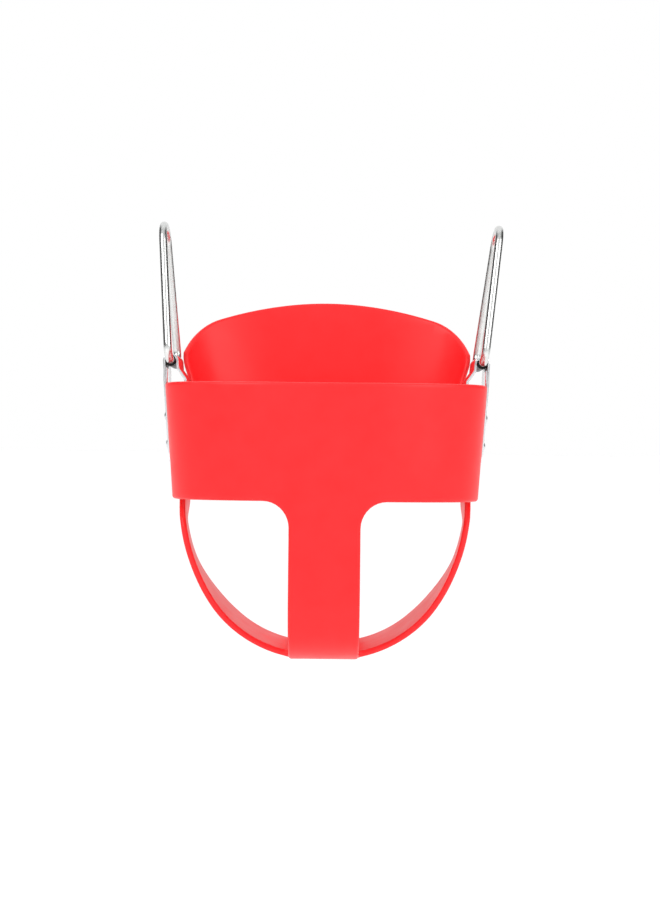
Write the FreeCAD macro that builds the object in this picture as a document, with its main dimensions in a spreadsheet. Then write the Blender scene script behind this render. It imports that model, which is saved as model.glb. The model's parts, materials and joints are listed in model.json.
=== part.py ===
import FreeCAD, Part
import math
import os
from FreeCAD import Placement, Rotation, Vector

# A toddler bucket swing seat with its two hanger triangles.
# The seat faces -Y, +X is its right-hand bracket, +Z is up, and the origin is
# the middle of its underside.  Sizes are millimetres and degrees.
dimensions = [
    ("layer_thick", 6.0, "thickness of each moulded EVA arm"),
    ("core_thick", 2.0, "thickness of the steel sheets inside the arms"),
    ("core_margin", 12.0, "EVA left round the edges of a steel sheet"),
    ("side_lean", 4.2, "lean of the clamped side walls, bottom inwards"),
    ("side_flat", 28.0, "half length of the flat side where the bracket clamps"),
    ("corner_radius", 70.0, "plan radius at each corner of the ring"),
    ("strap_half", 33.4, "half width of the crotch strap and of the rear strap"),
    ("front_depth", 116.0, "origin to the front of the guard band"),
    ("back_depth", 112.0, "origin to the rear of the high back"),
    ("band_bottom", 153.7, "height of the leg openings' top edge"),
    ("band_top", 264.0, "height of the guard band's rim at its middle"),
    ("rim_rise", 1.8, "how much higher the rim is at the clamps"),
    ("leg_fillet", 25.0, "fillet where a strap joins its band"),
    ("wing_end", 26.0, "how far a wing runs past the middle of the bracket"),
    ("wing_corner", 11.0, "rounded corners of the wing ends"),
    ("bend_radius", 60.0, "outer radius where a strap turns under the seat"),
    ("back_top", 359.6, "height of the back's crown"),
    ("crown_radius", 350.0, "radius of the back's top edge"),
    ("shoulder_radius", 56.0, "radius of the back's shoulders"),
    ("shoulder_half", 151.0, "half width of the high back"),
    ("back_flare", 12.0, "how much more the sides of the high back lean outwards"),
    ("back_edge", 50.0, "origin to the front edge of the high back, along Y"),
    ("edge_radius", 22.0, "radius where that edge turns into the shoulder"),
    ("edge_top", 286.0, "height where that turn starts"),
    ("edge_slope", 60.0, "slope where that turn ends"),
    ("notch_radius", 8.0, "fillet where the high back meets a wing"),
    ("strap_half_width", 50.0, "half width of a side strap below the band"),
    ("strap_neck_width", 27.0, "half width of a side strap in the clamp"),
    ("neck_low", 126.0, "height where a side strap reaches its full width"),
    ("neck_high", 153.0, "height where a side strap has its clamp width"),
    ("sling_start", 11.0, "rise of a side strap where it leaves the floor"),
    ("sling_turn", 53.0, "steepness where the strap's lower arc ends"),
    ("sling_radius", 124.0, "outer radius of the strap's lower arc"),
    ("pivot_half", 154.0, "origin to each hanger pivot, along X"),
    ("pivot_height", 289.0, "height of the hanger pivots"),
    ("clamp_inset", 3.0, "middle of the clamped stack, inwards of the pivot"),
    ("plate_thick", 2.4, "sheet of the bracket"),
    ("plate_half_width", 25.0, "half width of the bracket along Y"),
    ("plate_drop", 101.0, "pivot to the bracket's lower end"),
    ("plate_corner", 9.0, "corner radius at the bracket's lower end"),
    ("loop_radius", 5.3, "inner radius of the bracket's rolled loop"),
    ("loop_drop", 0.9, "loop centre below the pivot"),
    ("neck_drop", 9.0, "pivot to the end of the bracket's neck"),
    ("flare_drop", 20.0, "pivot to the end of the bracket's flare"),
    ("bore_radius", 4.05, "bore of the nylon liner"),
    ("liner_half", 24.5, "half length of the nylon liner"),
    ("rivet_upper", 55.0, "pivot to the upper rivet row"),
    ("rivet_lower", 82.5, "pivot to the lower rivet row"),
    ("rivet_pitch", 25.0, "spacing of the two rivet columns"),
    ("rivet_radius", 3.0, "rivet shank"),
    ("rivet_hole", 3.05, "rivet holes"),
    ("head_radius", 6.4, "rivet heads"),
    ("head_height", 2.6, "height of a rivet head"),
    ("washer_radius", 8.0, "washers under the formed heads"),
    ("washer_thick", 1.2, "thickness of those washers"),
    ("rod_radius", 4.0, "rod of the hanger triangle"),
    ("apex_height", 136.5, "pivot to the apex, on the rod's centre line"),
    ("apex_bend", 22.0, "centre-line radius of the apex"),
    ("base_bend", 12.0, "centre-line radius of the lower corners"),
    ("leg_lean", 11.9, "lean of each leg from the triangle's centre line"),
    ("left_lean", 4.3, "rest lean of the left hanger, outwards"),
    ("right_lean", 7.3, "rest lean of the right hanger, outwards"),
]

doc = FreeCAD.newDocument("bucket_swing")
sheet = doc.addObject("Spreadsheet::Sheet", "sizes")
for row, (name, number, words) in enumerate(dimensions, start=1):
    sheet.set(f"A{row}", name)
    sheet.set(f"B{row}", str(number))
    sheet.set(f"C{row}", words)
    sheet.setAlias(f"B{row}", name)
doc.recompute()

up = Vector(0, 0, 1)
across = Vector(1, 0, 0)
back = Vector(0, 1, 0)
reach = 200.0  # longer than any half size, for cutting tools


def size(name):
    return float(sheet.get(name))


def arc(first, middle, last):
    return Part.Arc(first, middle, last).toShape()


def line(first, last):
    return Part.makeLine(first, last)


def sine(degrees):
    return math.sin(math.radians(degrees))


def cosine(degrees):
    return math.cos(math.radians(degrees))


def keep(label, shape):
    feature = doc.addObject("Part::Feature", label)
    feature.Label = label
    feature.Shape = shape
    return feature


def closed_face(edges):
    wire = Part.Wire(Part.__sortEdges__(edges))
    return Part.Face(wire)


# ---- the ring of the bucket -------------------------------------------------

def wall_middle(height):
    """X of the middle of the clamped stack at a height."""
    lean = math.radians(size("side_lean"))
    drop = size("pivot_height") - height
    return size("pivot_half") - drop * math.tan(lean) - size("clamp_inset") / math.cos(lean)


def rim_end():
    """Height of the rim at the clamps."""
    return size("band_top") + size("rim_rise")


def plan_edges(height, half_width, depth, side, inset):
    """One face of a wall in plan, from the right wing's end to the left one's."""
    corner = size("corner_radius")
    flat = size("side_flat")
    middle_flat = size("strap_half")
    run = half_width - corner - middle_flat
    rise = (run ** 2 + flat ** 2 - (depth - corner) ** 2) / (2 * (depth - corner - flat))
    front_radius = depth + rise
    tangent = Vector(run, flat + rise, 0).normalize()

    def spot(x, outward):
        return Vector(x, side * outward, height)

    def on_corner(direction):
        radius = corner - inset
        x = half_width - corner + radius * direction.x
        return x, flat + radius * direction.y

    def on_front(direction):
        radius = front_radius - inset
        return middle_flat + radius * direction.x, radius * direction.y - rise

    corner_middle = (Vector(1, 0, 0) + tangent).normalize()
    front_middle = (Vector(0, 1, 0) + tangent).normalize()
    points = [
        (half_width - inset, -size("wing_end")),
        (half_width - inset, flat),
        on_corner(corner_middle),
        on_corner(tangent),
        on_front(front_middle),
        (middle_flat, depth - inset),
    ]
    right = [spot(x, outward) for x, outward in points]
    left = [spot(-x, outward) for x, outward in reversed(points)]
    return [
        line(right[0], right[1]),
        arc(right[1], right[2], right[3]),
        arc(right[3], right[4], right[5]),
        line(right[5], left[0]),
        arc(left[0], left[1], left[2]),
        arc(left[2], left[3], left[4]),
        line(left[4], left[5]),
    ]


def wall_section(height, layer, depth, side, outer_inset, inner_inset):
    half_width = wall_middle(height) + layer
    if side > 0:
        above = max(height - rim_end(), 0)
        half_width += above * math.tan(math.radians(size("back_flare")))
    outer = plan_edges(height, half_width, depth, side, outer_inset)
    inner = plan_edges(height, half_width, depth, side, inner_inset)
    ends = [
        line(outer[0].Vertexes[0].Point, inner[0].Vertexes[0].Point),
        line(outer[-1].Vertexes[-1].Point, inner[-1].Vertexes[-1].Point),
    ]
    return Part.Wire(Part.__sortEdges__(outer + inner + ends))


def wall(low, high, layer, depth, side, outer_inset, inner_inset):
    """A leaning wall, layer being its outer face's offset from the clamp's middle."""
    rim = rim_end()
    stages = [low, high] if high <= rim else [low, rim, high]
    storeys = []
    for bottom, top in zip(stages, stages[1:]):
        sections = []
        for height in (bottom, top):
            sections.append(wall_section(height, layer, depth, side, outer_inset, inner_inset))
        storeys.append(Part.makeLoft(sections, True, True))
    return storeys[0].multiFuse(storeys[1:]) if len(storeys) > 1 else storeys[0]


def strap_and_band(margin, foot):
    """The lower outline that both panels share, from the left rim to the right."""
    half = size("strap_half") - margin
    fillet = size("leg_fillet") + margin
    low = size("band_bottom") + margin
    turn = fillet * (1 - cosine(45))

    def side(sign):
        return [
            Vector(sign * reach, 0, low),
            Vector(sign * (half + fillet), 0, low),
            Vector(sign * (half + turn), 0, low - turn),
            Vector(sign * half, 0, low - fillet),
            Vector(sign * half, 0, foot),
        ]

    left, right = side(-1), side(1)
    edges = [line(left[4], right[4])]
    for points in (left, right):
        edges.append(line(points[0], points[1]))
        edges.append(arc(points[1], points[2], points[3]))
        edges.append(line(points[3], points[4]))
    return edges, left[0], right[0]


def prism(edges):
    face = closed_face(edges)
    solid = face.extrude(back * (2 * reach))
    solid.translate(back * -reach)
    return solid


def front_outline(margin, foot):
    edges, left, right = strap_and_band(margin, foot)
    high = size("band_top") - margin
    rise = size("rim_rise") * (reach / size("pivot_half")) ** 2
    left_top = Vector(left.x, 0, high + rise)
    right_top = Vector(right.x, 0, high + rise)
    edges += [line(left, left_top), line(right_top, right)]
    edges.append(arc(left_top, Vector(0, 0, high), right_top))
    return prism(edges)


def arch_side(margin):
    """Side view of the high back above the rim: notch, front edge and shoulder."""
    edge = size("back_edge") + margin
    rim = rim_end() - margin
    base = size("band_bottom") + margin
    notch = size("notch_radius") + margin
    turn = size("edge_radius") - margin
    start = size("edge_top")
    slope = size("edge_slope")
    notch_middle = notch * (1 - cosine(45))

    def on_turn(angle):
        return Vector(0, edge + turn - turn * cosine(angle), start + turn * sine(angle))

    last = on_turn(90 - slope)
    far = last + Vector(0, cosine(slope), sine(slope)) * reach
    notch_end = Vector(0, edge, rim + notch)
    foot = Vector(0, edge - notch, rim)
    edges = [
        arc(foot, Vector(0, edge - notch_middle, rim + notch_middle), notch_end),
        line(notch_end, on_turn(0)),
        arc(on_turn(0), on_turn((90 - slope) / 2), last),
        line(last, far),
        line(far, Vector(0, far.y, base)),
        line(Vector(0, far.y, base), Vector(0, foot.y, base)),
        line(Vector(0, foot.y, base), foot),
    ]
    solid = closed_face(edges).extrude(across * (2 * reach))
    solid.translate(across * -reach)
    return solid


def arch(margin):
    """The high back above the rim, seen from the front."""
    crown = size("crown_radius") - margin
    shoulder = size("shoulder_radius") - margin
    half = size("shoulder_half") - margin
    rim = size("band_top") - margin
    centre = size("back_top") - size("crown_radius")
    shoulder_x = half - shoulder
    shoulder_z = centre + math.sqrt((crown - shoulder) ** 2 - shoulder_x ** 2)
    tangent = Vector(shoulder_x, 0, shoulder_z - centre).normalize()
    bisector = (tangent + across).normalize()

    def half_outline(sign):
        points = [
            Vector(half, 0, rim),
            Vector(half, 0, shoulder_z),
            Vector(shoulder_x, 0, shoulder_z) + bisector * shoulder,
            Vector(shoulder_x, 0, shoulder_z) + tangent * shoulder,
        ]
        return [Vector(sign * point.x, 0, point.z) for point in points]

    left, right = half_outline(-1), half_outline(1)
    edges = [line(left[0], right[0]), arc(left[3], Vector(0, 0, centre + crown), right[3])]
    for points in (left, right):
        edges.append(line(points[0], points[1]))
        edges.append(arc(points[1], points[2], points[3]))
    return prism(edges).common(arch_side(margin))


def back_outline(margin, foot):
    return front_outline(margin, foot).fuse(arch(margin))


def strap_bend(depth, side):
    """The quarter turn that takes a strap under the seat."""
    outer = size("bend_radius")
    inner = outer - size("layer_thick")
    half = size("strap_half")
    hub = Vector(-half, side * (depth - outer), outer)

    def rim(radius, angle):
        return hub + Vector(0, side * radius * cosine(angle), -radius * sine(angle))

    edges = [
        arc(rim(outer, 0), rim(outer, 45), rim(outer, 90)),
        line(rim(outer, 90), rim(inner, 90)),
        arc(rim(inner, 90), rim(inner, 45), rim(inner, 0)),
        line(rim(inner, 0), rim(outer, 0)),
    ]
    return closed_face(edges).extrude(across * (2 * half))


def round_wing_ends(panel, side):
    """Rounds the corners of both wing ends, which lie past the bracket's middle."""
    end = -side * size("wing_end")
    corners = []
    for edge in panel.Edges:
        at_end = all(abs(vertex.Y - end) < 0.01 for vertex in edge.Vertexes)
        if at_end and abs(edge.Length - size("layer_thick")) < 0.5:
            corners.append(edge)
    return panel.makeFillet(size("wing_corner"), corners)


def make_panel(depth, side, layer, outline, top):
    """One of the two T-shaped arms, with its steel sheet sealed inside."""
    thick = size("layer_thick")
    bend = size("bend_radius")
    sheet_in = (thick - size("core_thick")) / 2
    full = wall(bend, top, layer, depth, side, 0, thick)
    panel = full.common(outline(0, bend))
    panel = round_wing_ends(panel, side)
    panel = panel.fuse(strap_bend(depth, side)).removeSplitter()
    middle = wall(bend, top, layer, depth, side, sheet_in, thick - sheet_in)
    core = middle.common(outline(size("core_margin"), bend + size("core_margin")))
    clamp_zone = size("plate_half_width") + size("core_margin")
    near = Part.makeBox(2 * reach, 2 * reach, 2 * reach)
    near.translate(Vector(-reach, clamp_zone if side > 0 else -clamp_zone - 2 * reach, 0))
    core = core.common(near)
    return panel.cut(core), core


# ---- the floor and the side straps ------------------------------------------

def sling_profile(outer_inset, inner_inset, start_x, top):
    """Front view of the right-hand strap between two faces of the sheet."""
    radius = size("sling_radius")
    start, turn = size("sling_start"), size("sling_turn")
    lean = size("side_lean")
    low = Vector(size("strap_half") - radius * sine(start), 0, radius * cosine(start))
    foot = Vector(wall_middle(0) + size("layer_thick") / 2, 0, 0)
    inward = Vector(-cosine(lean), 0, sine(lean))
    handover = low + Vector(sine(turn), 0, -cosine(turn)) * radius
    upper_radius = (handover - foot).dot(inward) / (1 - sine(turn + lean))
    high = handover + Vector(-sine(turn), 0, cosine(turn)) * upper_radius

    def face(inset):
        lower = radius - inset
        upper = upper_radius - inset
        first = math.degrees(math.asin((start_x - low.x) / lower))

        def on(centre, reach_out, angle):
            return centre + Vector(sine(angle), 0, -cosine(angle)) * reach_out

        tangent = on(high, upper, 90 - lean)
        rim = tangent + Vector(sine(lean), 0, cosine(lean)) * ((top - tangent.z) / cosine(lean))
        return [
            arc(on(low, lower, first), on(low, lower, (first + turn) / 2), on(low, lower, turn)),
            arc(on(low, lower, turn), on(high, upper, (turn + 90 - lean) / 2), tangent),
            line(tangent, rim),
        ]

    outer, inner = face(outer_inset), face(inner_inset)
    ends = [
        line(outer[0].Vertexes[0].Point, inner[0].Vertexes[0].Point),
        line(outer[2].Vertexes[-1].Point, inner[2].Vertexes[-1].Point),
    ]
    return closed_face(outer + inner + ends)


def strap_trim(margin):
    """Side view of a side strap: narrow in the clamp and wide under the leg holes."""
    wide = size("strap_half_width") - margin
    neck = size("strap_neck_width") - margin
    outline = [
        (-wide, 0), (wide, 0), (wide, size("neck_low")), (neck, size("neck_high")),
        (neck, size("band_top")), (-neck, size("band_top")),
        (-neck, size("neck_high")), (-wide, size("neck_low")), (-wide, 0),
    ]
    points = [Vector(0, y, z) for y, z in outline]
    return Part.Face(Part.makePolygon(points)).extrude(across * reach)


def make_side_strap(sign):
    thick = size("layer_thick") * cosine(size("side_lean"))  # fits level between the leaning walls
    sheet_in = (thick - size("core_thick")) / 2
    margin = size("core_margin")
    start = size("strap_half")

    def sling(profile, trim):
        solid = profile.extrude(back * (2 * reach))
        solid.translate(back * -reach)
        return solid.common(trim)

    strap = sling(sling_profile(0, thick, start, size("band_top")), strap_trim(0))
    core_top = size("neck_high")
    profile = sling_profile(sheet_in, thick - sheet_in, start + margin, core_top)
    core = sling(profile, strap_trim(margin))
    strap = strap.cut(core)
    if sign < 0:
        strap = strap.mirror(Vector(0, 0, 0), across)
        core = core.mirror(Vector(0, 0, 0), across)
    return strap, core


# ---- brackets, rivets and liners ---------------------------------------------

def clamp_placement(sign):
    """Puts a clamp's upright frame, pivot at its origin, on one side of the seat."""
    pivot = Vector(sign * size("pivot_half"), 0, size("pivot_height"))
    facing = Rotation(up, 0 if sign > 0 else 180)
    return Placement(pivot, Rotation(back, sign * size("side_lean")) * facing)


def rivet_spots():
    spots = []
    for drop in (size("rivet_upper"), size("rivet_lower")):
        for column in (-0.5, 0.5):
            spots.append(Vector(-size("clamp_inset"), column * size("rivet_pitch"), -drop))
    return spots


def rivet_holes():
    holes = []
    for spot in rivet_spots():
        holes.append(Part.makeCylinder(size("rivet_hole"), reach, spot - across * reach / 2, across))
    return Part.makeCompound(holes)


def bracket_shape():
    """A hairpin of sheet: loop over the pivot rod, neck, flare and two flat cheeks."""
    thick = size("plate_thick")
    loop = size("loop_radius")
    gap = 1.5 * size("layer_thick")
    middle = -size("loop_drop")
    neck, flare, end = size("neck_drop"), size("flare_drop"), size("plate_drop")
    shift = size("clamp_inset")

    def leg(sign, inset):
        spread = gap - sign * shift
        step = inset * math.tan(math.atan2(spread - loop, flare - neck) / 2)
        return [
            Vector(sign * (spread + inset), 0, -end),
            Vector(sign * (spread + inset), 0, -flare + step),
            Vector(sign * (loop + inset), 0, -neck + step),
            Vector(sign * (loop + inset), 0, middle),
        ]

    def face(inset):
        right, left = leg(1, inset), leg(-1, inset)
        edges = [line(a, b) for a, b in zip(right, right[1:])]
        edges += [line(a, b) for a, b in zip(left, left[1:])]
        edges.append(arc(right[3], Vector(0, 0, middle + loop + inset), left[3]))
        return edges, right[0], left[0]

    inner, inner_right, inner_left = face(0)
    outer, outer_right, outer_left = face(thick)
    ends = [line(inner_right, outer_right), line(inner_left, outer_left)]
    half = size("plate_half_width")
    hairpin = closed_face(inner + outer + ends).extrude(back * (2 * half))
    hairpin.translate(back * -half)
    lower = []
    for edge in hairpin.Edges:
        if all(abs(vertex.Z + end) < 0.01 for vertex in edge.Vertexes) and edge.Length < thick + 0.1:
            lower.append(edge)
    return hairpin.makeFillet(size("plate_corner"), lower).cut(rivet_holes())


def dome(radius, height):
    """A rivet head that stands on the plane x = 0."""
    ball = (radius ** 2 + height ** 2) / (2 * height)
    sphere = Part.makeSphere(ball, Vector(height - ball, 0, 0))
    return sphere.common(Part.makeCylinder(radius, height, Vector(0, 0, 0), across))


def rivet_group():
    stack = 1.5 * size("layer_thick") + size("plate_thick")
    washer = size("washer_thick")
    rivets = []
    for spot in rivet_spots():
        length = 2 * stack + washer
        start = spot - across * (stack + washer)
        shank = Part.makeCylinder(size("rivet_radius"), length, start, across)
        outer = dome(size("head_radius"), size("head_height"))
        outer.translate(spot + across * stack)
        inner = dome(size("head_radius"), size("head_height"))
        inner.rotate(Vector(0, 0, 0), up, 180)
        inner.translate(start)
        rivets.append(shank.multiFuse([outer, inner]).removeSplitter())
    return Part.makeCompound(rivets)


def washer_group():
    stack = 1.5 * size("layer_thick") + size("plate_thick")
    thick = size("washer_thick")
    washers = []
    for spot in rivet_spots():
        start = spot - across * (stack + thick)
        disc = Part.makeCylinder(size("washer_radius"), thick, start, across)
        washers.append(disc.cut(Part.makeCylinder(size("rivet_hole"), thick, start, across)))
    return Part.makeCompound(washers)


def make_liner(label):
    """An eccentric nylon sleeve, thick below the rod where the loop is slack."""
    body = doc.addObject("Part::Cylinder", label + "_blank")
    bore = doc.addObject("Part::Cylinder", label + "_bore")
    body.setExpression("Radius", "sizes.loop_radius")
    body.setExpression("Height", "2 * sizes.liner_half")
    body.setExpression("Placement.Base.z", "-sizes.loop_drop")
    body.setExpression("Placement.Base.y", "sizes.liner_half")
    bore.setExpression("Radius", "sizes.bore_radius")
    bore.setExpression("Height", "2 * sizes.liner_half")
    bore.setExpression("Placement.Base.y", "sizes.liner_half")
    for cylinder in (body, bore):
        cylinder.Placement.Rotation = Rotation(across, 90)
    sleeve = doc.addObject("Part::Cut", label)
    sleeve.Base = body
    sleeve.Tool = bore
    sleeve.Label = label
    return sleeve


# ---- hangers ------------------------------------------------------------------

def hanger_shape():
    """A closed triangle of round rod, its base along Y through the pivot."""
    lean = size("leg_lean")
    top = size("apex_bend")
    low = size("base_bend")
    apex = size("apex_height") - top
    turn = 90 + lean
    corner = (top + apex * sine(lean)) / cosine(lean)
    flat_end = corner - low * math.tan(math.radians(turn / 2))
    rod = size("rod_radius")

    def disc(centre, heading):
        return Part.Face(Part.Wire(Part.makeCircle(rod, centre, heading)))

    def right_half():
        start = Vector(0, flat_end, 0)
        base = disc(start, back).extrude(back * (-flat_end))
        bend = disc(start, back).revolve(Vector(0, flat_end, low), across, turn)
        leg_start = Vector(0, flat_end + low * sine(turn), low - low * cosine(turn))
        shoulder = Vector(0, top * cosine(lean), apex + top * sine(lean))
        leg = disc(leg_start, shoulder - leg_start).extrude(shoulder - leg_start)
        crown = disc(shoulder, shoulder - leg_start)
        crown = crown.revolve(Vector(0, 0, apex), across, 90 - lean)
        return base.multiFuse([bend, leg, crown])

    half = right_half()
    return half.fuse(half.mirror(Vector(0, 0, 0), back)).removeSplitter()


# ---- the floor pad ---------------------------------------------------------------

def floor_box(name, margin, low, thick):
    """A flat box between the two straps' bends and the two side straps."""
    box = doc.addObject("Part::Box", name)
    box.setExpression("Length", f"2 * (sizes.strap_half - {margin})")
    box.setExpression("Width", f"sizes.front_depth + sizes.back_depth - 2 * sizes.bend_radius - 2 * {margin}")
    box.setExpression("Height", thick)
    box.setExpression("Placement.Base.x", f"{margin} - sizes.strap_half")
    box.setExpression("Placement.Base.y", f"sizes.bend_radius - sizes.front_depth + {margin}")
    box.setExpression("Placement.Base.z", low)
    return box


def make_floor():
    core_low = "(sizes.layer_thick - sizes.core_thick) / 2"
    slab = floor_box("floor_slab", 0, "0", "sizes.layer_thick")
    core = floor_box("floor_core", "sizes.core_margin", core_low, "sizes.core_thick")
    pad = doc.addObject("Part::Cut", "seat_floor")
    pad.Base = slab
    pad.Tool = core
    return pad, core


# ---- assembly ----------------------------------------------------------------------

kept = list(make_floor())
thick = size("layer_thick")
holes = [rivet_holes() for sign in (-1, 1)]
for hole, sign in zip(holes, (-1, 1)):
    hole.Placement = clamp_placement(sign)

panels = {
    "front": (size("front_depth"), -1, 1.5 * thick, front_outline, rim_end()),
    "back": (size("back_depth"), 1, -thick / 2, back_outline, size("back_top")),
}
for name, (depth, side, layer, outline, top) in panels.items():
    panel, core = make_panel(depth, side, layer, outline, top)
    kept.append(keep(name + "_panel", panel.cut(holes)))
    kept.append(keep(name + "_core", core))

hangers = {"left": (-1, size("left_lean")), "right": (1, size("right_lean"))}
for name, (sign, lean) in hangers.items():
    strap, core = make_side_strap(sign)
    kept.append(keep(name + "_side_strap", strap.cut(holes)))
    kept.append(keep(name + "_strap_core", core))
    clamped = [
        keep(name + "_bracket", bracket_shape()),
        keep(name + "_rivets", rivet_group()),
        keep(name + "_washers", washer_group()),
        make_liner(name + "_liner"),
    ]
    for piece in clamped:
        piece.Placement = clamp_placement(sign)
    hanger = keep(name + "_hanger", hanger_shape())
    pivot = Vector(sign * size("pivot_half"), 0, size("pivot_height"))
    hanger.Placement = Placement(pivot, Rotation(back, sign * lean))
    kept += clamped + [hanger]

doc.recompute()
for item in doc.Objects:
    if "Invalid" in item.State or "Error" in item.State:
        raise RuntimeError(f"{item.Label} did not recompute: {item.State}")
for item in kept:
    if item.Shape.isNull() or not item.Shape.isValid() or not item.Shape.Solids:
        raise RuntimeError(f"{item.Label} has no valid solid")

os.makedirs("parts", exist_ok=True)
for item in kept:
    item.Shape.exportStep(f"parts/{item.Label}.step")
    solids = len(item.Shape.Solids)
    print(f"{item.Label}: {solids} solid(s), {item.Shape.Volume / 1000:.1f} cm3")
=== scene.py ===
import bpy
import bmesh
import json
import math
from math import pi, radians, sin, cos, sqrt
from mathutils import Matrix, Vector


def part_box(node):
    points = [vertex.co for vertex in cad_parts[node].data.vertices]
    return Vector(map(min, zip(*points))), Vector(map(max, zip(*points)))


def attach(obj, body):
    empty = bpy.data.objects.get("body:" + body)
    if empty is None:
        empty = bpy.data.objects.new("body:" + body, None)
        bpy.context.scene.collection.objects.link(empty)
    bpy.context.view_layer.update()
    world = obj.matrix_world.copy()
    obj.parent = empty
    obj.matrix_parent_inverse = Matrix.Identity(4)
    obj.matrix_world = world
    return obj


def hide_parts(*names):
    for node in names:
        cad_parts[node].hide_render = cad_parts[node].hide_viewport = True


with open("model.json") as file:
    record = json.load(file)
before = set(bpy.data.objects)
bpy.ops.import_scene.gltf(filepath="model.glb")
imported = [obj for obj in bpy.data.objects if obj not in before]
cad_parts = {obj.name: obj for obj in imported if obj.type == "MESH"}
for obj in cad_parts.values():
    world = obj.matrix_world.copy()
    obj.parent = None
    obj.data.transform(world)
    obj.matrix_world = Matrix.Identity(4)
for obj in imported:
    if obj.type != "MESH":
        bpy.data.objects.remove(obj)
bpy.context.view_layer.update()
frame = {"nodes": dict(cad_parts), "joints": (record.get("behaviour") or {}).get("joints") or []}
print("frame loaded")

up = Vector((0, 0, 1))
across = Vector((1, 0, 0))
rear = Vector((0, 1, 0))


frontLow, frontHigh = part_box("front_panel")
backLow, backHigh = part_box("back_panel")
floorLow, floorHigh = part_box("seat_floor")
leftPivot, rightPivot = (Vector(joint["pos_m"]) for joint in frame["joints"])

seat = {
    "thick": floorHigh.z - floorLow.z,
    "strapHalf": floorHigh.x,
    "frontDepth": -frontLow.y,
    "backDepth": backHigh.y,
    "frontWing": frontHigh.y,      # how far the front wings run past the brackets' middle
    "backWing": -backLow.y,
    "bandTop": 0.264,
    "backTop": 0.3596,
    "bandBottom": 0.1537,
    "rimRise": 0.0018,             # how much higher the rim is at the clamps
    "hemDrop": 0.0012,             # how much lower the band's lower edge is there
    "riseEnds": (0.006, 0.030),    # above the rim, where the high back loses that rise
    "sideLean": radians(4.2),
    "clampInset": 0.003,           # middle of the clamped stack, inwards of the pivot
    "sideFlat": 0.028,
    "cornerRadius": 0.070,
    "legFillet": 0.025,
    "wingCorner": 0.011,
    "rim": 0.0027,                 # rounding of every edge of the moulding
    "slack": 0.00006,              # air between the clamped layers
}
seat["bend"] = seat["frontDepth"] + floorLow.y

highBack = {
    "crown": 0.350,                # radius of the top edge
    "shoulder": 0.056,
    "half": 0.1528,
    "flare": radians(12.0),        # extra outward lean of its sides
    "edge": 0.0500,                # origin to its front edge, along Y
    "notch": 0.008,
    "turn": 0.022,                 # radius where the front edge turns to the shoulder
    "turnStart": 0.286,
    "slope": radians(60.0),
    "fairing": (0.004, 0.009),     # extra outline points below the shoulder
}

sling = {
    "half": 0.050,                 # half width under the leg holes
    "neck": 0.027,                 # half width in the clamp
    "neckLow": 0.126,
    "neckHigh": 0.153,
    "lowRadius": 0.124,
    "lowStart": radians(11.0),
    "lowTurn": radians(53.0),
    "footFillet": 0.006,
    "topCorner": 0.009,
    "coreMargin": 0.012,           # EVA left round the steel inside
    "coreThick": 0.002,
    "coreTop": 0.150,
    "coreStep": 0.0005,            # fineness of the search for the core's end
    "coreParts": 40,
    "sideParts": 34,
    "twist": 0.085,                # slope of a strap's twist between floor and clamp
    "shift": 0.0024,               # how far out its middle moves with it
    "twistLow": 0.030,
    "twistFull": 0.095,
    "twistEase": 0.126,
}


def wallMiddle(height):
    lean = seat["sideLean"]
    return rightPivot.x - (rightPivot.z - height) * math.tan(lean) - seat["clampInset"] / cos(lean)


def newGroup(name, inputs, outputs):
    group = bpy.data.node_groups.new(name, "ShaderNodeTree")
    for label, kind, value in inputs:
        socket = group.interface.new_socket(label, in_out="INPUT", socket_type="NodeSocket" + kind)
        socket.default_value = value
    for label, kind in outputs:
        group.interface.new_socket(label, in_out="OUTPUT", socket_type="NodeSocket" + kind)
    start = group.nodes.new("NodeGroupInput")
    end = group.nodes.new("NodeGroupOutput")
    return group, start, end


def addNode(tree, kind, links=None, **settings):
    node = tree.nodes.new("ShaderNode" + kind)
    for key, value in settings.items():
        setattr(node, key, value)
    for socket, value in (links or {}).items():
        if isinstance(value, bpy.types.NodeSocket):
            tree.links.new(value, node.inputs[socket])
        else:
            node.inputs[socket].default_value = value
    return node


def mixColor(tree, factor, first, second):
    return addNode(tree, "Mix", {0: factor, 6: first, 7: second}, data_type="RGBA").outputs[2]


def mathNode(tree, operation, first, second=0.5, third=0.5):
    return addNode(tree, "Math", {0: first, 1: second, 2: third}, operation=operation).outputs[0]


def ramp(tree, factor, low, high, lowValue=0.0, highValue=1.0):
    links = {"Value": factor, "From Min": low, "From Max": high, "To Min": lowValue, "To Max": highValue}
    return addNode(tree, "MapRange", links).outputs[0]


def noise(tree, vector, scale, detail=3.0, rough=0.55):
    links = {"Vector": vector, "Scale": scale, "Detail": detail, "Roughness": rough}
    return addNode(tree, "TexNoise", links).outputs[0]


def buildEdgeWear():
    inputs = [("Amount", "Float", 0.5), ("Softness", "Float", 0.08), ("Breakup", "Float", 300.0)]
    group, start, end = newGroup("edgeWear", inputs, [("Mask", "Float")])
    where = addNode(group, "TexCoord").outputs["Object"]
    pointed = addNode(group, "NewGeometry").outputs["Pointiness"]
    low = mathNode(group, "ADD", 0.5, start.outputs["Softness"])
    edge = ramp(group, pointed, 0.5, low)
    broken = ramp(group, noise(group, where, start.outputs["Breakup"]), 0.35, 0.7)
    worn = mathNode(group, "MULTIPLY", edge, broken)
    group.links.new(mathNode(group, "MULTIPLY", worn, start.outputs["Amount"]), end.inputs["Mask"])
    return group


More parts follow.
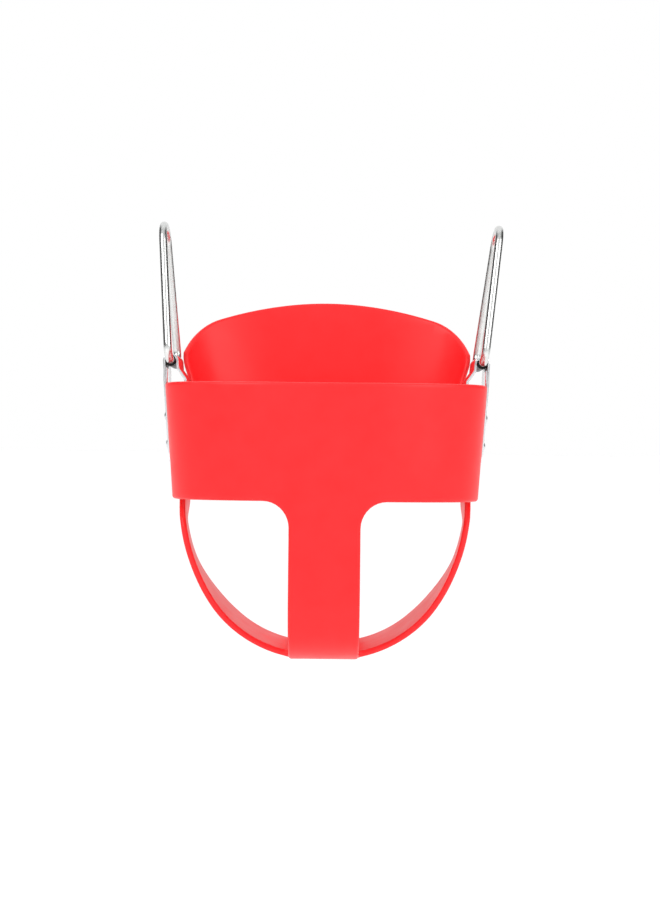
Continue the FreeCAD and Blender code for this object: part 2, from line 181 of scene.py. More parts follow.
def buildSettledDust():
    inputs = [("Amount", "Float", 0.2), ("Scale", "Float", 40.0)]
    group, start, end = newGroup("settledDust", inputs, [("Mask", "Float")])
    where = addNode(group, "TexCoord").outputs["Object"]
    facing = addNode(group, "SeparateXYZ", {0: addNode(group, "NewGeometry").outputs["Normal"]})
    level = ramp(group, facing.outputs[2], 0.55, 1.0)
    patch = ramp(group, noise(group, where, start.outputs["Scale"], 5.0), 0.42, 0.66)
    mask = mathNode(group, "MULTIPLY", level, patch)
    group.links.new(mathNode(group, "MULTIPLY", mask, start.outputs["Amount"]), end.inputs["Mask"])
    return group


def buildMouldGrain():
    inputs = [("Scale", "Float", 900.0), ("Ripple", "Float", 60.0)]
    group, start, end = newGroup("mouldGrain", inputs, [("Height", "Float"), ("Mottle", "Float")])
    where = addNode(group, "TexCoord").outputs["Object"]
    links = {"Vector": where, "Scale": start.outputs["Scale"]}
    cells = addNode(group, "TexVoronoi", links, feature="SMOOTH_F1")
    fine = noise(group, where, mathNode(group, "MULTIPLY", start.outputs["Scale"], 2.3), 2.0)
    broad = noise(group, where, start.outputs["Ripple"], 3.0)
    height = mathNode(group, "MULTIPLY_ADD", fine, 0.45, cells.outputs["Distance"])
    height = mathNode(group, "MULTIPLY_ADD", broad, 1.4, height)
    group.links.new(height, end.inputs["Height"])
    group.links.new(ramp(group, broad, 0.3, 0.7), end.inputs["Mottle"])
    return group


def buildDrawnMetal():
    inputs = [("Along", "Float", 30.0), ("Across", "Float", 900.0)]
    group, start, end = newGroup("drawnMetal", inputs, [("Height", "Float"), ("Stain", "Float")])
    where = addNode(group, "TexCoord").outputs["Object"]
    stretch = addNode(group, "CombineXYZ", {
        0: start.outputs["Across"], 1: start.outputs["Across"], 2: start.outputs["Along"]})
    scaled = addNode(group, "VectorMath", {0: where, 1: stretch.outputs[0]}, operation="MULTIPLY")
    lines = noise(group, scaled.outputs[0], 1.0, 2.0)
    group.links.new(lines, end.inputs["Height"])
    group.links.new(noise(group, where, 55.0, 5.0, 0.6), end.inputs["Stain"])
    return group


edgeWear = buildEdgeWear()
settledDust = buildSettledDust()
mouldGrain = buildMouldGrain()
drawnMetal = buildDrawnMetal()


def place(tree, group, **values):
    node = tree.nodes.new("ShaderNodeGroup")
    node.node_tree = group
    for key, value in values.items():
        node.inputs[key].default_value = value
    return node


def newMaterial(name, **settings):
    material = bpy.data.materials.new(name)
    material.use_nodes = True
    tree = material.node_tree
    shader = tree.nodes["Principled BSDF"]
    for key, value in settings.items():
        shader.inputs[key].default_value = value
    return material, tree, shader


def bump(tree, shader, height, distance, strength=1.0):
    node = addNode(tree, "Bump", {"Height": height, "Distance": distance, "Strength": strength})
    tree.links.new(node.outputs[0], shader.inputs["Normal"])


mouldedRed = {
    "deep": (0.84, 0.0100, 0.0125, 1), "bright": (0.87, 0.0130, 0.0160, 1),
    "scuffed": (0.90, 0.030, 0.034, 1), "dust": (0.86, 0.10, 0.10, 1),
    "roughLow": 0.36, "roughHigh": 0.43, "grain": 0.00002,
}


def makeEva():
    look = mouldedRed
    material, tree, shader = newMaterial("mouldedRedEva", **{"Specular IOR Level": 0.36, "IOR": 1.47})
    grain = place(tree, mouldGrain, Scale=1100.0, Ripple=45.0)
    wear = place(tree, edgeWear, Amount=0.30, Softness=0.06, Breakup=260.0)
    dust = place(tree, settledDust, Amount=0.04, Scale=35.0)
    color = mixColor(tree, grain.outputs["Mottle"], look["deep"], look["bright"])
    color = mixColor(tree, wear.outputs["Mask"], color, look["scuffed"])
    color = mixColor(tree, dust.outputs["Mask"], color, look["dust"])
    tree.links.new(color, shader.inputs["Base Color"])
    rough = ramp(tree, grain.outputs["Mottle"], 0.0, 1.0, look["roughLow"], look["roughHigh"])
    tree.links.new(rough, shader.inputs["Roughness"])
    bump(tree, shader, grain.outputs["Height"], look["grain"])
    return material


# Plated or galvanised steel: drawn lines, stains and brighter worn edges.
plating = {
    "worn": (0.93, 0.93, 0.93, 1), "wear": 0.5, "wearSoftness": 0.05, "wearBreakup": 500.0,
    "stainShare": 0.35,            # how strongly stains darken the metal
    "stainRough": 0.14,            # how much rougher they are
}

metals = {
    "platedSheet": {
        "color": (0.80, 0.81, 0.83, 1), "dark": (0.58, 0.60, 0.62, 1),
        "rough": 0.09, "along": 35.0, "across": 1400.0, "relief": 0.00001,
    },
    "platedRivet": {
        "color": (0.76, 0.77, 0.79, 1), "dark": (0.48, 0.50, 0.53, 1),
        "rough": 0.18, "along": 400.0, "across": 400.0, "relief": 0.00001,
    },
    "platedRod": {
        "color": (0.68, 0.69, 0.68, 1), "dark": (0.50, 0.51, 0.50, 1),
        "rough": 0.22, "along": 60.0, "across": 900.0, "relief": 0.0000015,
    },
    "galvanisedSheet": {
        "color": (0.55, 0.56, 0.58, 1), "dark": (0.35, 0.36, 0.38, 1),
        "rough": 0.35, "along": 80.0, "across": 700.0, "relief": 0.00001,
    },
}


def makePlated(name):
    look = metals[name]
    material, tree, shader = newMaterial(name, Metallic=1.0)
    lines = place(tree, drawnMetal, Along=look["along"], Across=look["across"])
    wear = place(tree, edgeWear, Amount=plating["wear"], Softness=plating["wearSoftness"],
                 Breakup=plating["wearBreakup"])
    stain = ramp(tree, lines.outputs["Stain"], 0.45, 0.75)
    share = mathNode(tree, "MULTIPLY", stain, plating["stainShare"])
    tone = mixColor(tree, share, look["color"], look["dark"])
    tone = mixColor(tree, wear.outputs["Mask"], tone, plating["worn"])
    tree.links.new(tone, shader.inputs["Base Color"])
    stained = look["rough"] + plating["stainRough"]
    spread = ramp(tree, lines.outputs["Stain"], 0.3, 0.8, look["rough"], stained)
    tree.links.new(spread, shader.inputs["Roughness"])
    bump(tree, shader, lines.outputs["Height"], look["relief"])
    return material


# Liner in the bracket loops, darkened to near black: painted shade standing in for the shadowed gap under
# the rod.
paintedShadeLiner = {
    "deep": (0.003, 0.003, 0.003, 1), "bright": (0.006, 0.006, 0.006, 1),
    "roughLow": 0.3, "roughHigh": 0.45, "grain": 0.00003,
}


def makePaintedShadeLiner():
    look = paintedShadeLiner
    material, tree, shader = newMaterial("paintedShadeLiner", **{"Specular IOR Level": 0.2})
    grain = place(tree, mouldGrain, Scale=2500.0, Ripple=200.0)
    color = mixColor(tree, grain.outputs["Mottle"], look["deep"], look["bright"])
    tree.links.new(color, shader.inputs["Base Color"])
    rough = ramp(tree, grain.outputs["Mottle"], 0, 1, look["roughLow"], look["roughHigh"])
    tree.links.new(rough, shader.inputs["Roughness"])
    bump(tree, shader, grain.outputs["Height"], look["grain"])
    return material


evaSkin = makeEva()
bracketPlate = makePlated("platedSheet")
rivetPlate = makePlated("platedRivet")
rodPlate = makePlated("platedRod")
coreSteel = makePlated("galvanisedSheet")
paintedShadeLinerMaterial = makePaintedShadeLiner()
print("materials made")


tolerance = {
    "weld": 0.000004,
    "cut": 0.000001,
    "level": 0.0001,
}


def finishMesh(mesh, name, material, body, smoothAngle=radians(35)):
    bmesh.ops.remove_doubles(mesh, verts=mesh.verts, dist=tolerance["weld"])
    bmesh.ops.recalc_face_normals(mesh, faces=mesh.faces)
    for face in mesh.faces:
        face.smooth = True
    data = bpy.data.meshes.new(name)
    mesh.to_mesh(data)
    mesh.free()
    data.set_sharp_from_angle(angle=smoothAngle)
    data.materials.append(material)
    piece = bpy.data.objects.new(name, data)
    bpy.context.scene.collection.objects.link(piece)
    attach(piece, body)
    return piece


# Points of an arc in a plane, ends included.
def arcPoints(centre, radius, start, end, steps):
    angles = [start + (end - start) * step / steps for step in range(steps + 1)]
    return [(centre[0] + radius * cos(a), centre[1] + radius * sin(a)) for a in angles]


# Radius, rise and handover angle of the ring's front arc at a height.
def planArcs(height, depth, layer):
    half = wallMiddle(height) + layer
    if depth == seat["backDepth"]:
        half += max(height - seat["bandTop"] - seat["rimRise"], 0) * math.tan(highBack["flare"])
    corner, flat, middle = seat["cornerRadius"], seat["sideFlat"], seat["strapHalf"]
    run = half - corner - middle
    rise = (run ** 2 + flat ** 2 - (depth - corner) ** 2) / (2 * (depth - corner - flat))
    return half, depth + rise, rise, math.atan2(run, flat + rise)


def makeArm(depth, side, layer, wing):
    return {"depth": depth, "side": side, "layer": layer, "wing": wing}


frontArm = makeArm(seat["frontDepth"], -1, seat["thick"] * 1.5, seat["frontWing"])
backArm = makeArm(seat["backDepth"], 1, -seat["thick"] / 2, seat["backWing"])


# Lengths along the moulding of the front arc, corner and side of an arm.
def armLengths(arm):
    middle = (seat["bandTop"] + seat["bandBottom"]) / 2
    half, radius, rise, turn = planArcs(middle, arm["depth"], arm["layer"])
    return radius * turn, seat["cornerRadius"] * (pi / 2 - turn), seat["sideFlat"] + arm["wing"]


# A point of the band, u along its outer face from the centre line.
def onRing(arm, u, height, inset):
    half, radius, rise, turn = planArcs(height, arm["depth"], arm["layer"])
    frontLength, cornerLength, sideLength = armLengths(arm)
    corner, middle = seat["cornerRadius"], seat["strapHalf"]
    run = abs(u) - middle
    if run <= 0:
        x, out = abs(u), arm["depth"] - inset
    elif run <= frontLength:
        angle = run / frontLength * turn
        x = middle + (radius - inset) * sin(angle)
        out = (radius - inset) * cos(angle) - rise
    elif run <= frontLength + cornerLength:
        angle = turn + (run - frontLength) / cornerLength * (pi / 2 - turn)
        x = half - corner + (corner - inset) * sin(angle)
        out = seat["sideFlat"] + (corner - inset) * cos(angle)
    else:
        x, out = half - inset, seat["sideFlat"] - (run - frontLength - cornerLength)
    share = smooth(seat["bandBottom"], seat["bandTop"], height)
    fadeStart, fadeEnd = (seat["bandTop"] + rise for rise in seat["riseEnds"])
    fade = 1 - smooth(fadeStart, fadeEnd, height)
    shift = (seat["rimRise"] * share - seat["hemDrop"] * (1 - share)) * (x / rightPivot.x) ** 2
    return Vector((math.copysign(x, u), arm["side"] * out, height + shift * fade))


# Distance along the moulding from the seat's middle up to a height.
def alongArm(height, arm):
    return arm["depth"] - seat["bend"] + seat["bend"] * pi / 2 + height - seat["bend"]


# A point of the front or back arm, v along it from the seat's middle.
def onArm(arm, u, v, inset):
    bend, depth = seat["bend"], arm["depth"]
    run = v - (depth - bend)
    if run <= 0:
        return Vector((u, arm["side"] * v, inset))
    if run <= bend * pi / 2:
        angle = run / bend
        out = depth - bend + (bend - inset) * sin(angle)
        return Vector((u, arm["side"] * out, bend - (bend - inset) * cos(angle)))
    return onRing(arm, u, bend + run - bend * pi / 2, inset)


# Each stretch of a side strap: centre, radius, first and last steepness.
def slingArcs():
    low, start, turn = sling["lowRadius"], sling["lowStart"], sling["lowTurn"]
    lean = seat["sideLean"]
    lowHub = Vector((seat["strapHalf"] - low * sin(start), 0, low * cos(start)))
    inward = Vector((-cos(lean), 0, sin(lean)))
    handover = lowHub + Vector((sin(turn), 0, -cos(turn))) * low
    foot = Vector((wallMiddle(0) + seat["thick"] / 2, 0, 0))
    high = (handover - foot).dot(inward) / (1 - sin(turn + lean))
    highHub = handover + Vector((-sin(turn), 0, cos(turn))) * high
    return [(lowHub, low, start, turn), (highHub, high, turn, pi / 2 - lean)]


slingStretches = slingArcs()


# Front-view point and height of a side strap, u along its outer face.
def onSling(u, inset):
    run = abs(u) - seat["strapHalf"]
    if run <= 0:
        return abs(u), inset
    for hub, radius, first, last in slingStretches:
        length = radius * (last - first)
        if run <= length:
            angle = first + run / radius
            return hub.x + (radius - inset) * sin(angle), hub.z - (radius - inset) * cos(angle)
        run -= length
    lean = seat["sideLean"]
    x = hub.x + (radius - inset) * sin(last) + run * sin(lean)
    return x, hub.z - (radius - inset) * cos(last) + run * cos(lean)


def smooth(low, high, value):
    t = min(max((value - low) / (high - low), 0), 1)
    return t * t * (3 - 2 * t)


# Half width of a side strap at a height.
def slingHalf(height):
    narrowed = smooth(sling["neckLow"], sling["neckHigh"], height)
    return sling["half"] + (sling["neck"] - sling["half"]) * narrowed


# Length along a side strap from the seat's middle to its upper end.
def slingEnd():
    length = seat["strapHalf"] + sum(radius * (last - first) for hub, radius, first, last in slingStretches)
    x, height = onSling(length, 0)
    return length + (seat["bandTop"] - seat["slack"] - height) / cos(seat["sideLean"])


# Folds a point of the flat cross into the seat.
def onCross(u, v, inset):
    arm = frontArm if v < 0 else backArm
    edge = sling["half"] + sling["footFillet"]
    if abs(v) > edge:
        return onArm(arm, u, abs(v), inset)
    x, height = onSling(u, inset)
    if abs(u) <= seat["strapHalf"]:
        share = 1 - smooth(sling["half"], edge, abs(v))
        return Vector((math.copysign(x, u), v, inset + (height - inset) * share))
    free = smooth(sling["twistLow"], sling["twistFull"], height)
    free *= 1 - smooth(sling["twistEase"], seat["bandBottom"], height)
    return Vector((math.copysign(x + free * (sling["shift"] + sling["twist"] * v), u), v, height))


# How far along the band its outer face meets a test that grows along it.
def alongRing(arm, height, passed):
    low, high = 0.0, seat["strapHalf"] + sum(armLengths(arm))
    for search in range(folding["searches"]):
        middle = (low + high) / 2
        if passed(onRing(arm, middle, height, 0)):
            high = middle
        else:
            low = middle
    return high


# How far forward the high back reaches at a height.
def backEdge(height):
    rim, notch, turn = seat["bandTop"] + seat["rimRise"], highBack["notch"], highBack["turn"]
    if height < rim + notch:
        return highBack["edge"] - notch + sqrt(max(notch ** 2 - (rim + notch - height) ** 2, 0))
    rise = max(height - highBack["turnStart"], 0)
    last = pi / 2 - highBack["slope"]
    if rise < turn * sin(last):
        return highBack["edge"] + turn * (1 - cos(math.asin(rise / turn)))
    beyond = (rise - turn * sin(last)) / math.tan(highBack["slope"])
    return highBack["edge"] + turn * (1 - cos(last)) + beyond


# Right half of an arm's lower outline: wing corner, band edge, fillet and strap.
def bandOutline(arm):
    end = seat["strapHalf"] + sum(armLengths(arm))
    corner, fillet, half = seat["wingCorner"], seat["legFillet"], seat["strapHalf"]
    low = alongArm(seat["bandBottom"], arm)
    foot = sling["half"] + sling["footFillet"]
    points = arcPoints((end - corner, low + corner), corner, 0, -pi / 2, 6)
    points += arcPoints((half + fillet, low - fillet), fillet, pi / 2, pi, 9)
    points.append((half, foot))
    return points


# Right half of the front arm from its rim down to the floor.
def frontOutline():
    end = seat["strapHalf"] + sum(armLengths(frontArm))
    corner = seat["wingCorner"]
    high = alongArm(seat["bandTop"], frontArm)
    return arcPoints((end - corner, high - corner), corner, pi / 2, 0, 6) + bandOutline(frontArm)


# Right half of the high back, from the crown down to the notch.
def archOutline():
    crown, shoulder, half = highBack["crown"], highBack["shoulder"], highBack["half"]
    rim = seat["bandTop"] + seat["rimRise"]
    centre = seat["backTop"] - crown
    shoulderX = half - shoulder
    shoulderZ = centre + sqrt((crown - shoulder) ** 2 - shoulderX ** 2)
    handover = math.atan2(shoulderZ - centre, shoulderX)
    front = arcPoints((0, centre), crown, pi / 2, handover, 18)[1:]
    front += arcPoints((shoulderX, shoulderZ), shoulder, handover, 0, 14)[1:]
    notch = highBack["notch"]
    front += [(half, shoulderZ - drop) for drop in highBack["fairing"]]
    front.append((half, rim + notch))
    front += [(half, rim + notch * (1 - sin(step * pi / 12))) for step in range(1, 7)]
    outline = []
    for x, z in front:
        byWidth = alongRing(backArm, z, lambda spot: spot.x >= x)
        byDepth = alongRing(backArm, z, lambda spot: spot.y <= backEdge(z))
        outline.append((min(byWidth, byDepth), alongArm(z, backArm)))
    return outline


def backOutline():
    end = seat["strapHalf"] + sum(armLengths(backArm))
    corner = seat["wingCorner"]
    high = alongArm(seat["bandTop"], backArm)
    wing = arcPoints((end - corner, high - corner), corner, pi / 2, 0, 6)
    return archOutline() + wing + bandOutline(backArm)


# One edge of the right side strap, from the floor to its upper end.
def slingOutline():
    end, corner = slingEnd(), sling["topCorner"]
    fillet, half = sling["footFillet"], sling["half"]
    points = arcPoints((seat["strapHalf"] + fillet, half + fillet), fillet, pi, pi * 1.5, 3)[1:]
    steps = sling["sideParts"]
    start = seat["strapHalf"] + 2 * fillet
    for step in range(1, steps):
        u = start + (end - corner - start) * step / steps
        points.append((u, slingHalf(onSling(u, 0)[1])))
    return points + arcPoints((end - corner, sling["neck"] - corner), corner, pi / 2, 0, 5)


def crossOutline():
    strapSide = slingOutline()
    right = [(u, -v) for u, v in frontOutline()] + [(u, -v) for u, v in strapSide]
    right += [(u, v) for u, v in reversed(strapSide)] + [(u, v) for u, v in reversed(backOutline())]
    left = [(-u, v) for u, v in reversed(right)]
    crown = [(0, alongArm(seat["backTop"], backArm))]
    return right + crown + left


# Spacing of the cuts that let the flat cross fold smoothly.
folding = {
    "across": 0.0035,
    "bend": 0.0035,
    "wall": 0.011,
    "floor": 0.006,
    "core": 0.004,
    "rimParts": 4,
    "wallReach": 3,                # cuts run this many depths up the wall, past its top
    "searches": 40,
}


def sliceMesh(mesh, normal, start, end, step):
    count = max(1, round((end - start) / step))
    for index in range(count + 1):
        where = normal * (start + (end - start) * index / count)
        geometry = mesh.verts[:] + mesh.edges[:] + mesh.faces[:]
        bmesh.ops.bisect_plane(mesh, geom=geometry, dist=tolerance["cut"], plane_co=where,
                               plane_no=normal)


def makeMoulding():
    mesh = bmesh.new()
    corners = [mesh.verts.new((u, v, 0)) for u, v in crossOutline()]
    sheet = mesh.faces.new(corners)
    raised = bmesh.ops.extrude_face_region(mesh, geom=[sheet])["geom"]
    top = [item for item in raised if isinstance(item, bmesh.types.BMVert)]
    bmesh.ops.translate(mesh, verts=top, vec=(0, 0, seat["thick"]))
    bmesh.ops.recalc_face_normals(mesh, faces=mesh.faces)
    rims = [edge for edge in mesh.edges
            if abs(edge.verts[0].co.z - edge.verts[1].co.z) < tolerance["cut"]]
    bmesh.ops.bevel(mesh, geom=rims, offset=seat["rim"], segments=folding["rimParts"], profile=0.5,
                    affect="EDGES", material=-1)
    reach = seat["strapHalf"] + sum(armLengths(backArm))
    sliceMesh(mesh, across, -reach, reach, folding["across"])
    for arm in (frontArm, backArm):
        side = arm["side"]
        bend = arm["depth"] - seat["bend"]
        bendEnd = bend + seat["bend"] * pi / 2
        wallEnd = alongArm(arm["depth"] * folding["wallReach"], arm)
        sliceMesh(mesh, rear, side * bend, side * bendEnd, folding["bend"] * side)
        sliceMesh(mesh, rear, side * bendEnd, side * wallEnd, folding["wall"] * side)
    sliceMesh(mesh, rear, -sling["half"], sling["half"], folding["floor"])
    for vert in mesh.verts:
        u, v, inset = vert.co
        vert.co = onCross(u, v, seat["slack"] + inset * (1 - 2 * seat["slack"] / seat["thick"]))
    piece = finishMesh(mesh, "seatMoulding", evaSkin, "bucket", radians(50))
    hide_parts("front_panel", "back_panel", "seat_floor", "left_side_strap", "right_side_strap")
    return piece


# The steel sheet inside a side strap, folded the same way as the strap.
def makeStrapCore(name, side):
    mesh = bmesh.new()
    margin = sling["coreMargin"]
    start = seat["strapHalf"] + margin
    end = start
    while onSling(end, 0)[1] < sling["coreTop"]:
        end += sling["coreStep"]
    steps = sling["coreParts"]
    edge = []
    for step in range(steps + 1):
        u = start + (end - start) * step / steps
        edge.append((u, slingHalf(onSling(u, 0)[1]) - margin))
    outline = [(side * u, -v) for u, v in edge] + [(side * u, v) for u, v in reversed(edge)]
    sheet = mesh.faces.new([mesh.verts.new((u, v, 0)) for u, v in outline])
    raised = bmesh.ops.extrude_face_region(mesh, geom=[sheet])["geom"]
    top = [item for item in raised if isinstance(item, bmesh.types.BMVert)]
    bmesh.ops.translate(mesh, verts=top, vec=(0, 0, sling["coreThick"]))
    sliceMesh(mesh, across, side * start, side * end, side * folding["core"])
    low = (seat["thick"] - sling["coreThick"]) / 2
    for vert in mesh.verts:
        u, v, inset = vert.co
        vert.co = onCross(u, v, low + inset)
    piece = finishMesh(mesh, name, coreSteel, "bucket")
    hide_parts(name)


moulding = makeMoulding()
for name, side in (("left_strap_core", -1), ("right_strap_core", 1)):
    makeStrapCore(name, side)
print("moulding folded", len(moulding.data.polygons))


clamp = {
    "thick": 0.0024,
    "halfWidth": 0.025,
    "drop": 0.101,                 # pivot to the plates' lower end
    "corner": 0.009,
    "loop": 0.0053,                # inner radius of the rolled loop
    "loopDrop": 0.0009,            # loop's centre below the pivot
    "neck": 0.009,                 # pivot to where the cheeks start to spread
    "flare": 0.020,                # pivot to where they lie on the seat
    "edge": 0.0007,
    "cornerParts": 8,
    "edgeParts": 2,
    "loopParts": 20,
}

rivet = {
    "rows": (0.055, 0.0825),
    "pitch": 0.025,
    "shank": 0.003,
    "head": 0.0064,
    "headHeight": 0.0026,
    "washer": 0.008,
    "washerThick": 0.0012,
    "washerEdge": 0.0003,
    "washerFit": 0.00005,
    "turnParts": 28,
    "domeParts": 8,
}


# From a clamp's upright frame, pivot at its origin, to its place on the seat.
def clampMatrix(pivot, side):
    facing = Matrix.Rotation(0 if side > 0 else pi, 4, "Z")
    return Matrix.Translation(pivot) @ Matrix.Rotation(side * seat["sideLean"], 4, "Y") @ facing


# One face of the bracket's sheet in front view, from its outer foot over the loop.
def bracketFace(inset):
    gap, loop, shift = 1.5 * seat["thick"], clamp["loop"], seat["clampInset"]
    middle = -clamp["loopDrop"]
    legs = []
    for side in (1, -1):
        spread = gap - side * shift
        step = inset * math.tan(math.atan2(spread - loop, clamp["flare"] - clamp["neck"]) / 2)
        legs.append([
            (side * (spread + inset), -clamp["drop"]),
            (side * (spread + inset), -clamp["flare"] + step),
            (side * (loop + inset), -clamp["neck"] + step),
        ])
    over = arcPoints((0, middle), loop + inset, 0, pi, clamp["loopParts"])
    return legs[0] + over + legs[1][::-1]


def makeBracket(name, pivot, side):
    mesh = bmesh.new()
    outline = bracketFace(0) + bracketFace(clamp["thick"])[::-1]
    half = clamp["halfWidth"]
    sheet = mesh.faces.new([mesh.verts.new((x, -half, z)) for x, z in outline])
    raised = bmesh.ops.extrude_face_region(mesh, geom=[sheet])["geom"]
    far = [item for item in raised if isinstance(item, bmesh.types.BMVert)]
    bmesh.ops.translate(mesh, verts=far, vec=(0, 2 * half, 0))
    bmesh.ops.recalc_face_normals(mesh, faces=mesh.faces)
    feet = []
    for edge in mesh.edges:
        first, last = (vert.co for vert in edge.verts)
        low = max(first.z, last.z) < -clamp["drop"] + tolerance["level"]
        if low and abs(first.y - last.y) < tolerance["level"]:
            feet.append(edge)
    bmesh.ops.bevel(mesh, geom=feet, offset=clamp["corner"], segments=clamp["cornerParts"],
                    profile=0.5, affect="EDGES", material=-1)
    sharp = [edge for edge in mesh.edges
             if len(edge.link_faces) == 2 and edge.calc_face_angle() > radians(60)]
    bmesh.ops.bevel(mesh, geom=sharp, offset=clamp["edge"], segments=clamp["edgeParts"],
                    profile=0.5, affect="EDGES", material=-1)
    bmesh.ops.transform(mesh, matrix=clampMatrix(pivot, side), verts=mesh.verts)
    piece = finishMesh(mesh, name, bracketPlate, "bucket")
    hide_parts(name)


# Spins outlines of (along the rivet, radius) into round pieces at all four rivets.
def turnAtRivets(name, pivot, side, outline, smoothAngle=radians(35)):
    mesh = bmesh.new()
    for row in rivet["rows"]:
        for column in (-0.5, 0.5):
            spot = Vector((-seat["clampInset"], column * rivet["pitch"], -row))
            verts = [mesh.verts.new(spot + Vector((x, 0, radius))) for x, radius in outline]
            chain = [mesh.edges.new(pair) for pair in zip(verts, verts[1:])]
            bmesh.ops.spin(mesh, geom=verts + chain, cent=spot, axis=across, angle=2 * pi,
                           steps=rivet["turnParts"], use_merge=True)
    bmesh.ops.transform(mesh, matrix=clampMatrix(pivot, side), verts=mesh.verts)
    piece = finishMesh(mesh, name, rivetPlate, "bucket", smoothAngle)
    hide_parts(name)


# Outline of a rivet's domed head, rising from its rim to its crown.
def domeOutline():
    head, height = rivet["head"], rivet["headHeight"]
    ball = (head ** 2 + height ** 2) / (2 * height)
    start = math.asin(head / ball)
    points = []
    for step in range(rivet["domeParts"] + 1):
        angle = start * (1 - step / rivet["domeParts"])
        points.append((height - ball + ball * cos(angle), ball * sin(angle)))
    return points


def makeRivets(pivot, side, label):
    stack = 1.5 * seat["thick"] + clamp["thick"]
    inner = stack + rivet["washerThick"]
    dome = domeOutline()
    outline = [(-inner - x, radius) for x, radius in dome][::-1]
    outline += [(-inner, rivet["shank"]), (stack, rivet["shank"])]
    outline += [(stack + x, radius) for x, radius in dome]
    turnAtRivets(label + "_rivets", pivot, side, outline)
    thick, edge = rivet["washerThick"], rivet["washerEdge"]
    bore = rivet["shank"] + rivet["washerFit"]
    ring = [(-stack, bore), (-stack, rivet["washer"] - edge), (-stack - edge, rivet["washer"]),
            (-stack - thick + edge, rivet["washer"]), (-stack - thick, rivet["washer"] - edge),
            (-stack - thick, bore), (-stack, bore)]
    turnAtRivets(label + "_washers", pivot, side, ring)


triangle = {
    "rod": 0.004,
    "apexHeight": 0.1365,
    "apexBend": 0.022,
    "baseBend": 0.012,
    "legLean": radians(11.9),
    "rodParts": 28,
    "baseParts": 18,
    "apexParts": 30,
}


# A closed triangle of round rod, swept straight and round its bends.
def makeHanger(name, pivot, side, restLean):
    mesh = bmesh.new()
    lean, top, low = triangle["legLean"], triangle["apexBend"], triangle["baseBend"]
    apex = triangle["apexHeight"] - top
    turn = pi / 2 + lean
    corner = (top + apex * sin(lean)) / cos(lean)
    flatEnd = corner - low * math.tan(turn / 2)
    legStart = Vector((0, flatEnd + low * sin(turn), low - low * cos(turn)))
    legEnd = Vector((0, top * cos(lean), apex + top * sin(lean)))
    upright = Matrix.Rotation(pi / 2, 4, "X")
    ring = bmesh.ops.create_circle(mesh, segments=triangle["rodParts"], radius=triangle["rod"],
                                   matrix=upright)["verts"]
    loop = list({edge for vert in ring for edge in vert.link_edges})

    def straight(edges, move):
        grown = bmesh.ops.extrude_edge_only(mesh, edges=edges)["geom"]
        ends = [item for item in grown if isinstance(item, bmesh.types.BMVert)]
        bmesh.ops.translate(mesh, verts=ends, vec=move)
        return [item for item in grown if isinstance(item, bmesh.types.BMEdge)]

    def bend(edges, centre, angle, steps):
        verts = list({vert for edge in edges for vert in edge.verts})
        grown = bmesh.ops.spin(mesh, geom=verts + edges, cent=centre, axis=across, angle=angle,
                               steps=steps)["geom_last"]
        return [item for item in grown if isinstance(item, bmesh.types.BMEdge)]

    loop = straight(loop, (0, flatEnd, 0))
    loop = bend(loop, (0, flatEnd, low), turn, triangle["baseParts"])
    loop = straight(loop, legEnd - legStart)
    loop = bend(loop, (0, 0, apex), pi - 2 * lean, triangle["apexParts"])
    loop = straight(loop, (0, legEnd.y - legStart.y, legStart.z - legEnd.z))
    loop = bend(loop, (0, -flatEnd, low), turn, triangle["baseParts"])
    straight(loop, (0, flatEnd, 0))
    seated = Matrix.Translation(pivot) @ Matrix.Rotation(side * restLean, 4, "Y")
    bmesh.ops.transform(mesh, matrix=seated, verts=mesh.verts)
    piece = finishMesh(mesh, name, rodPlate, name)
    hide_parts(name)


# Side's label, pivot, sign along X and outward lean of its hanger at rest.
hardware = (
    ("left", leftPivot, -1, radians(4.3)),
    ("right", rightPivot, 1, radians(7.3)),
)
for label, pivot, side, restLean in hardware:
    makeBracket(label + "_bracket", pivot, side)
    makeRivets(pivot, side, label)
    makeHanger(label + "_hanger", pivot, side, restLean)
print("hardware made")


studio = {
    "floorDrop": 0.26,
    "floorSize": 400.0,
    "floorRough": 0.9,
    "floorColor": (0.92, 0.92, 0.92, 1),
    "floorGlow": 0.12,
    "distance": 1.45,              # camera to the origin, along Y
    "aside": 0.0043,
    "eyeHeight": 0.2015,
    "lens": 57.72,
    "roll": 0.6,
    "lightTarget": (0, 0, 0.2),
    "lightSize": 1.2,
}

lights = {
    "keyLight": {"spot": (-1.3, -1.5, 1.6), "power": 20},
    "fillLight": {"spot": (1.5, -1.3, 1.1), "power": 14},
}

# Dark screens that only mirror rays see, as parts of the direction's X and Y.
surround = {
    "sideScreen": (0.48, 0.62),
    "frontInner": (0.16, 0.22),
    "frontOuter": (0.30, 0.38),
    "turnover": (-0.05, 0.05),     # where the front half passes into the rear half
    "frontDepth": 0.85,
    "rearDepth": 0.97,
}


def makeFloor():
    mesh = bmesh.new()
    bmesh.ops.create_grid(mesh, x_segments=1, y_segments=1, size=studio["floorSize"] / 2)
    data = bpy.data.meshes.new("studioFloor")
    mesh.to_mesh(data)
    mesh.free()
    floor = bpy.data.objects.new("studioFloor", data)
    floor.location = (0, 0, -studio["floorDrop"])
    material, tree, shader = newMaterial("paleFloor", Roughness=studio["floorRough"])
    shader.inputs["Base Color"].default_value = studio["floorColor"]
    shader.inputs["Emission Color"].default_value = (1, 1, 1, 1)
    shader.inputs["Emission Strength"].default_value = studio["floorGlow"]
    data.materials.append(material)
    bpy.context.scene.collection.objects.link(floor)


def addArea(name, spot, power):
    data = bpy.data.lights.new(name, "AREA")
    data.shape = "SQUARE"
    data.size = studio["lightSize"]
    data.energy = power
    light = bpy.data.objects.new(name, data)
    light.location = spot
    aim = Vector(studio["lightTarget"]) - Vector(spot)
    light.rotation_euler = aim.to_track_quat("-Z", "Y").to_euler()
    bpy.context.scene.collection.objects.link(light)


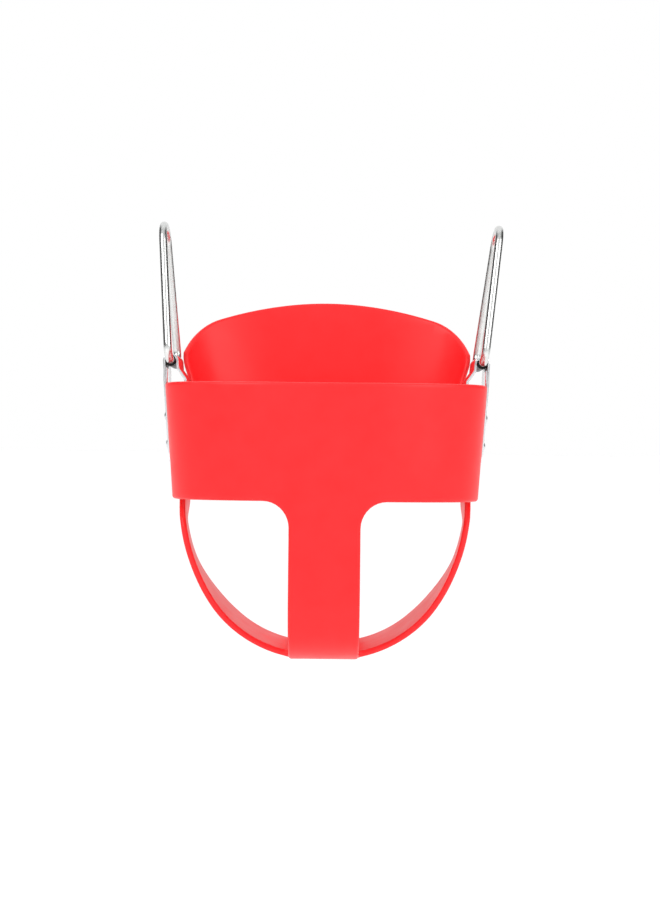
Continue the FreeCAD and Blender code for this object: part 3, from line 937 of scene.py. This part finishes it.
def makeWorld():
    world = bpy.data.worlds.new("studioWorld")
    bpy.context.scene.world = world
    world.use_nodes = True
    tree = world.node_tree
    background = tree.nodes["Background"]
    direction = addNode(tree, "TexCoord").outputs["Generated"]
    parts = addNode(tree, "SeparateXYZ", {0: direction})
    forward = parts.outputs[1]
    aside = mathNode(tree, "ABSOLUTE", parts.outputs[0])
    sides = ramp(tree, aside, *surround["sideScreen"])
    inner = ramp(tree, aside, *surround["frontInner"])
    outer = ramp(tree, aside, *surround["frontOuter"], 1.0, 0.0)
    inFront = ramp(tree, forward, *surround["turnover"], 1.0, 0.0)
    front = mathNode(tree, "MULTIPLY", mathNode(tree, "MULTIPLY", inner, outer), inFront)
    streaks = mathNode(tree, "MAXIMUM", sides, front)
    depth = ramp(tree, forward, *surround["turnover"], surround["frontDepth"], surround["rearDepth"])
    shade = mathNode(tree, "SUBTRACT", 1.0, mathNode(tree, "MULTIPLY", streaks, depth))
    mirrored = addNode(tree, "LightPath").outputs["Is Glossy Ray"]
    dimmed = mathNode(tree, "MAXIMUM", shade, mathNode(tree, "SUBTRACT", 1.0, mirrored))
    seen = addNode(tree, "LightPath").outputs["Is Camera Ray"]
    tone = mathNode(tree, "MAXIMUM", dimmed, seen)
    color = addNode(tree, "CombineColor", {0: tone, 1: tone, 2: tone})
    tree.links.new(color.outputs[0], background.inputs["Color"])
    background.inputs["Strength"].default_value = 1.0


def makeCamera():
    data = bpy.data.cameras.new("studioCamera")
    data.lens = studio["lens"]
    camera = bpy.data.objects.new("studioCamera", data)
    camera.location = (studio["aside"], -studio["distance"], studio["eyeHeight"])
    turn = Matrix.Rotation(radians(90), 4, "X") @ Matrix.Rotation(radians(studio["roll"]), 4, "Z")
    camera.rotation_euler = turn.to_euler()
    bpy.context.scene.collection.objects.link(camera)
    bpy.context.scene.camera = camera


makeFloor()
makeWorld()
for name, light in lights.items():
    addArea(name, light["spot"], light["power"])
makeCamera()
bpy.context.scene.view_settings.view_transform = "Standard"
print("studio set")

# Pieces kept from the frame take a material only; the liners take the near-black painted shade of the gap
# under the rod.
keptLooks = {"core": coreSteel, "liner": paintedShadeLinerMaterial}
for name, node in frame["nodes"].items():
    for word, material in keptLooks.items():
        if name.endswith(word):
            node.data.materials.clear()
            node.data.materials.append(material)
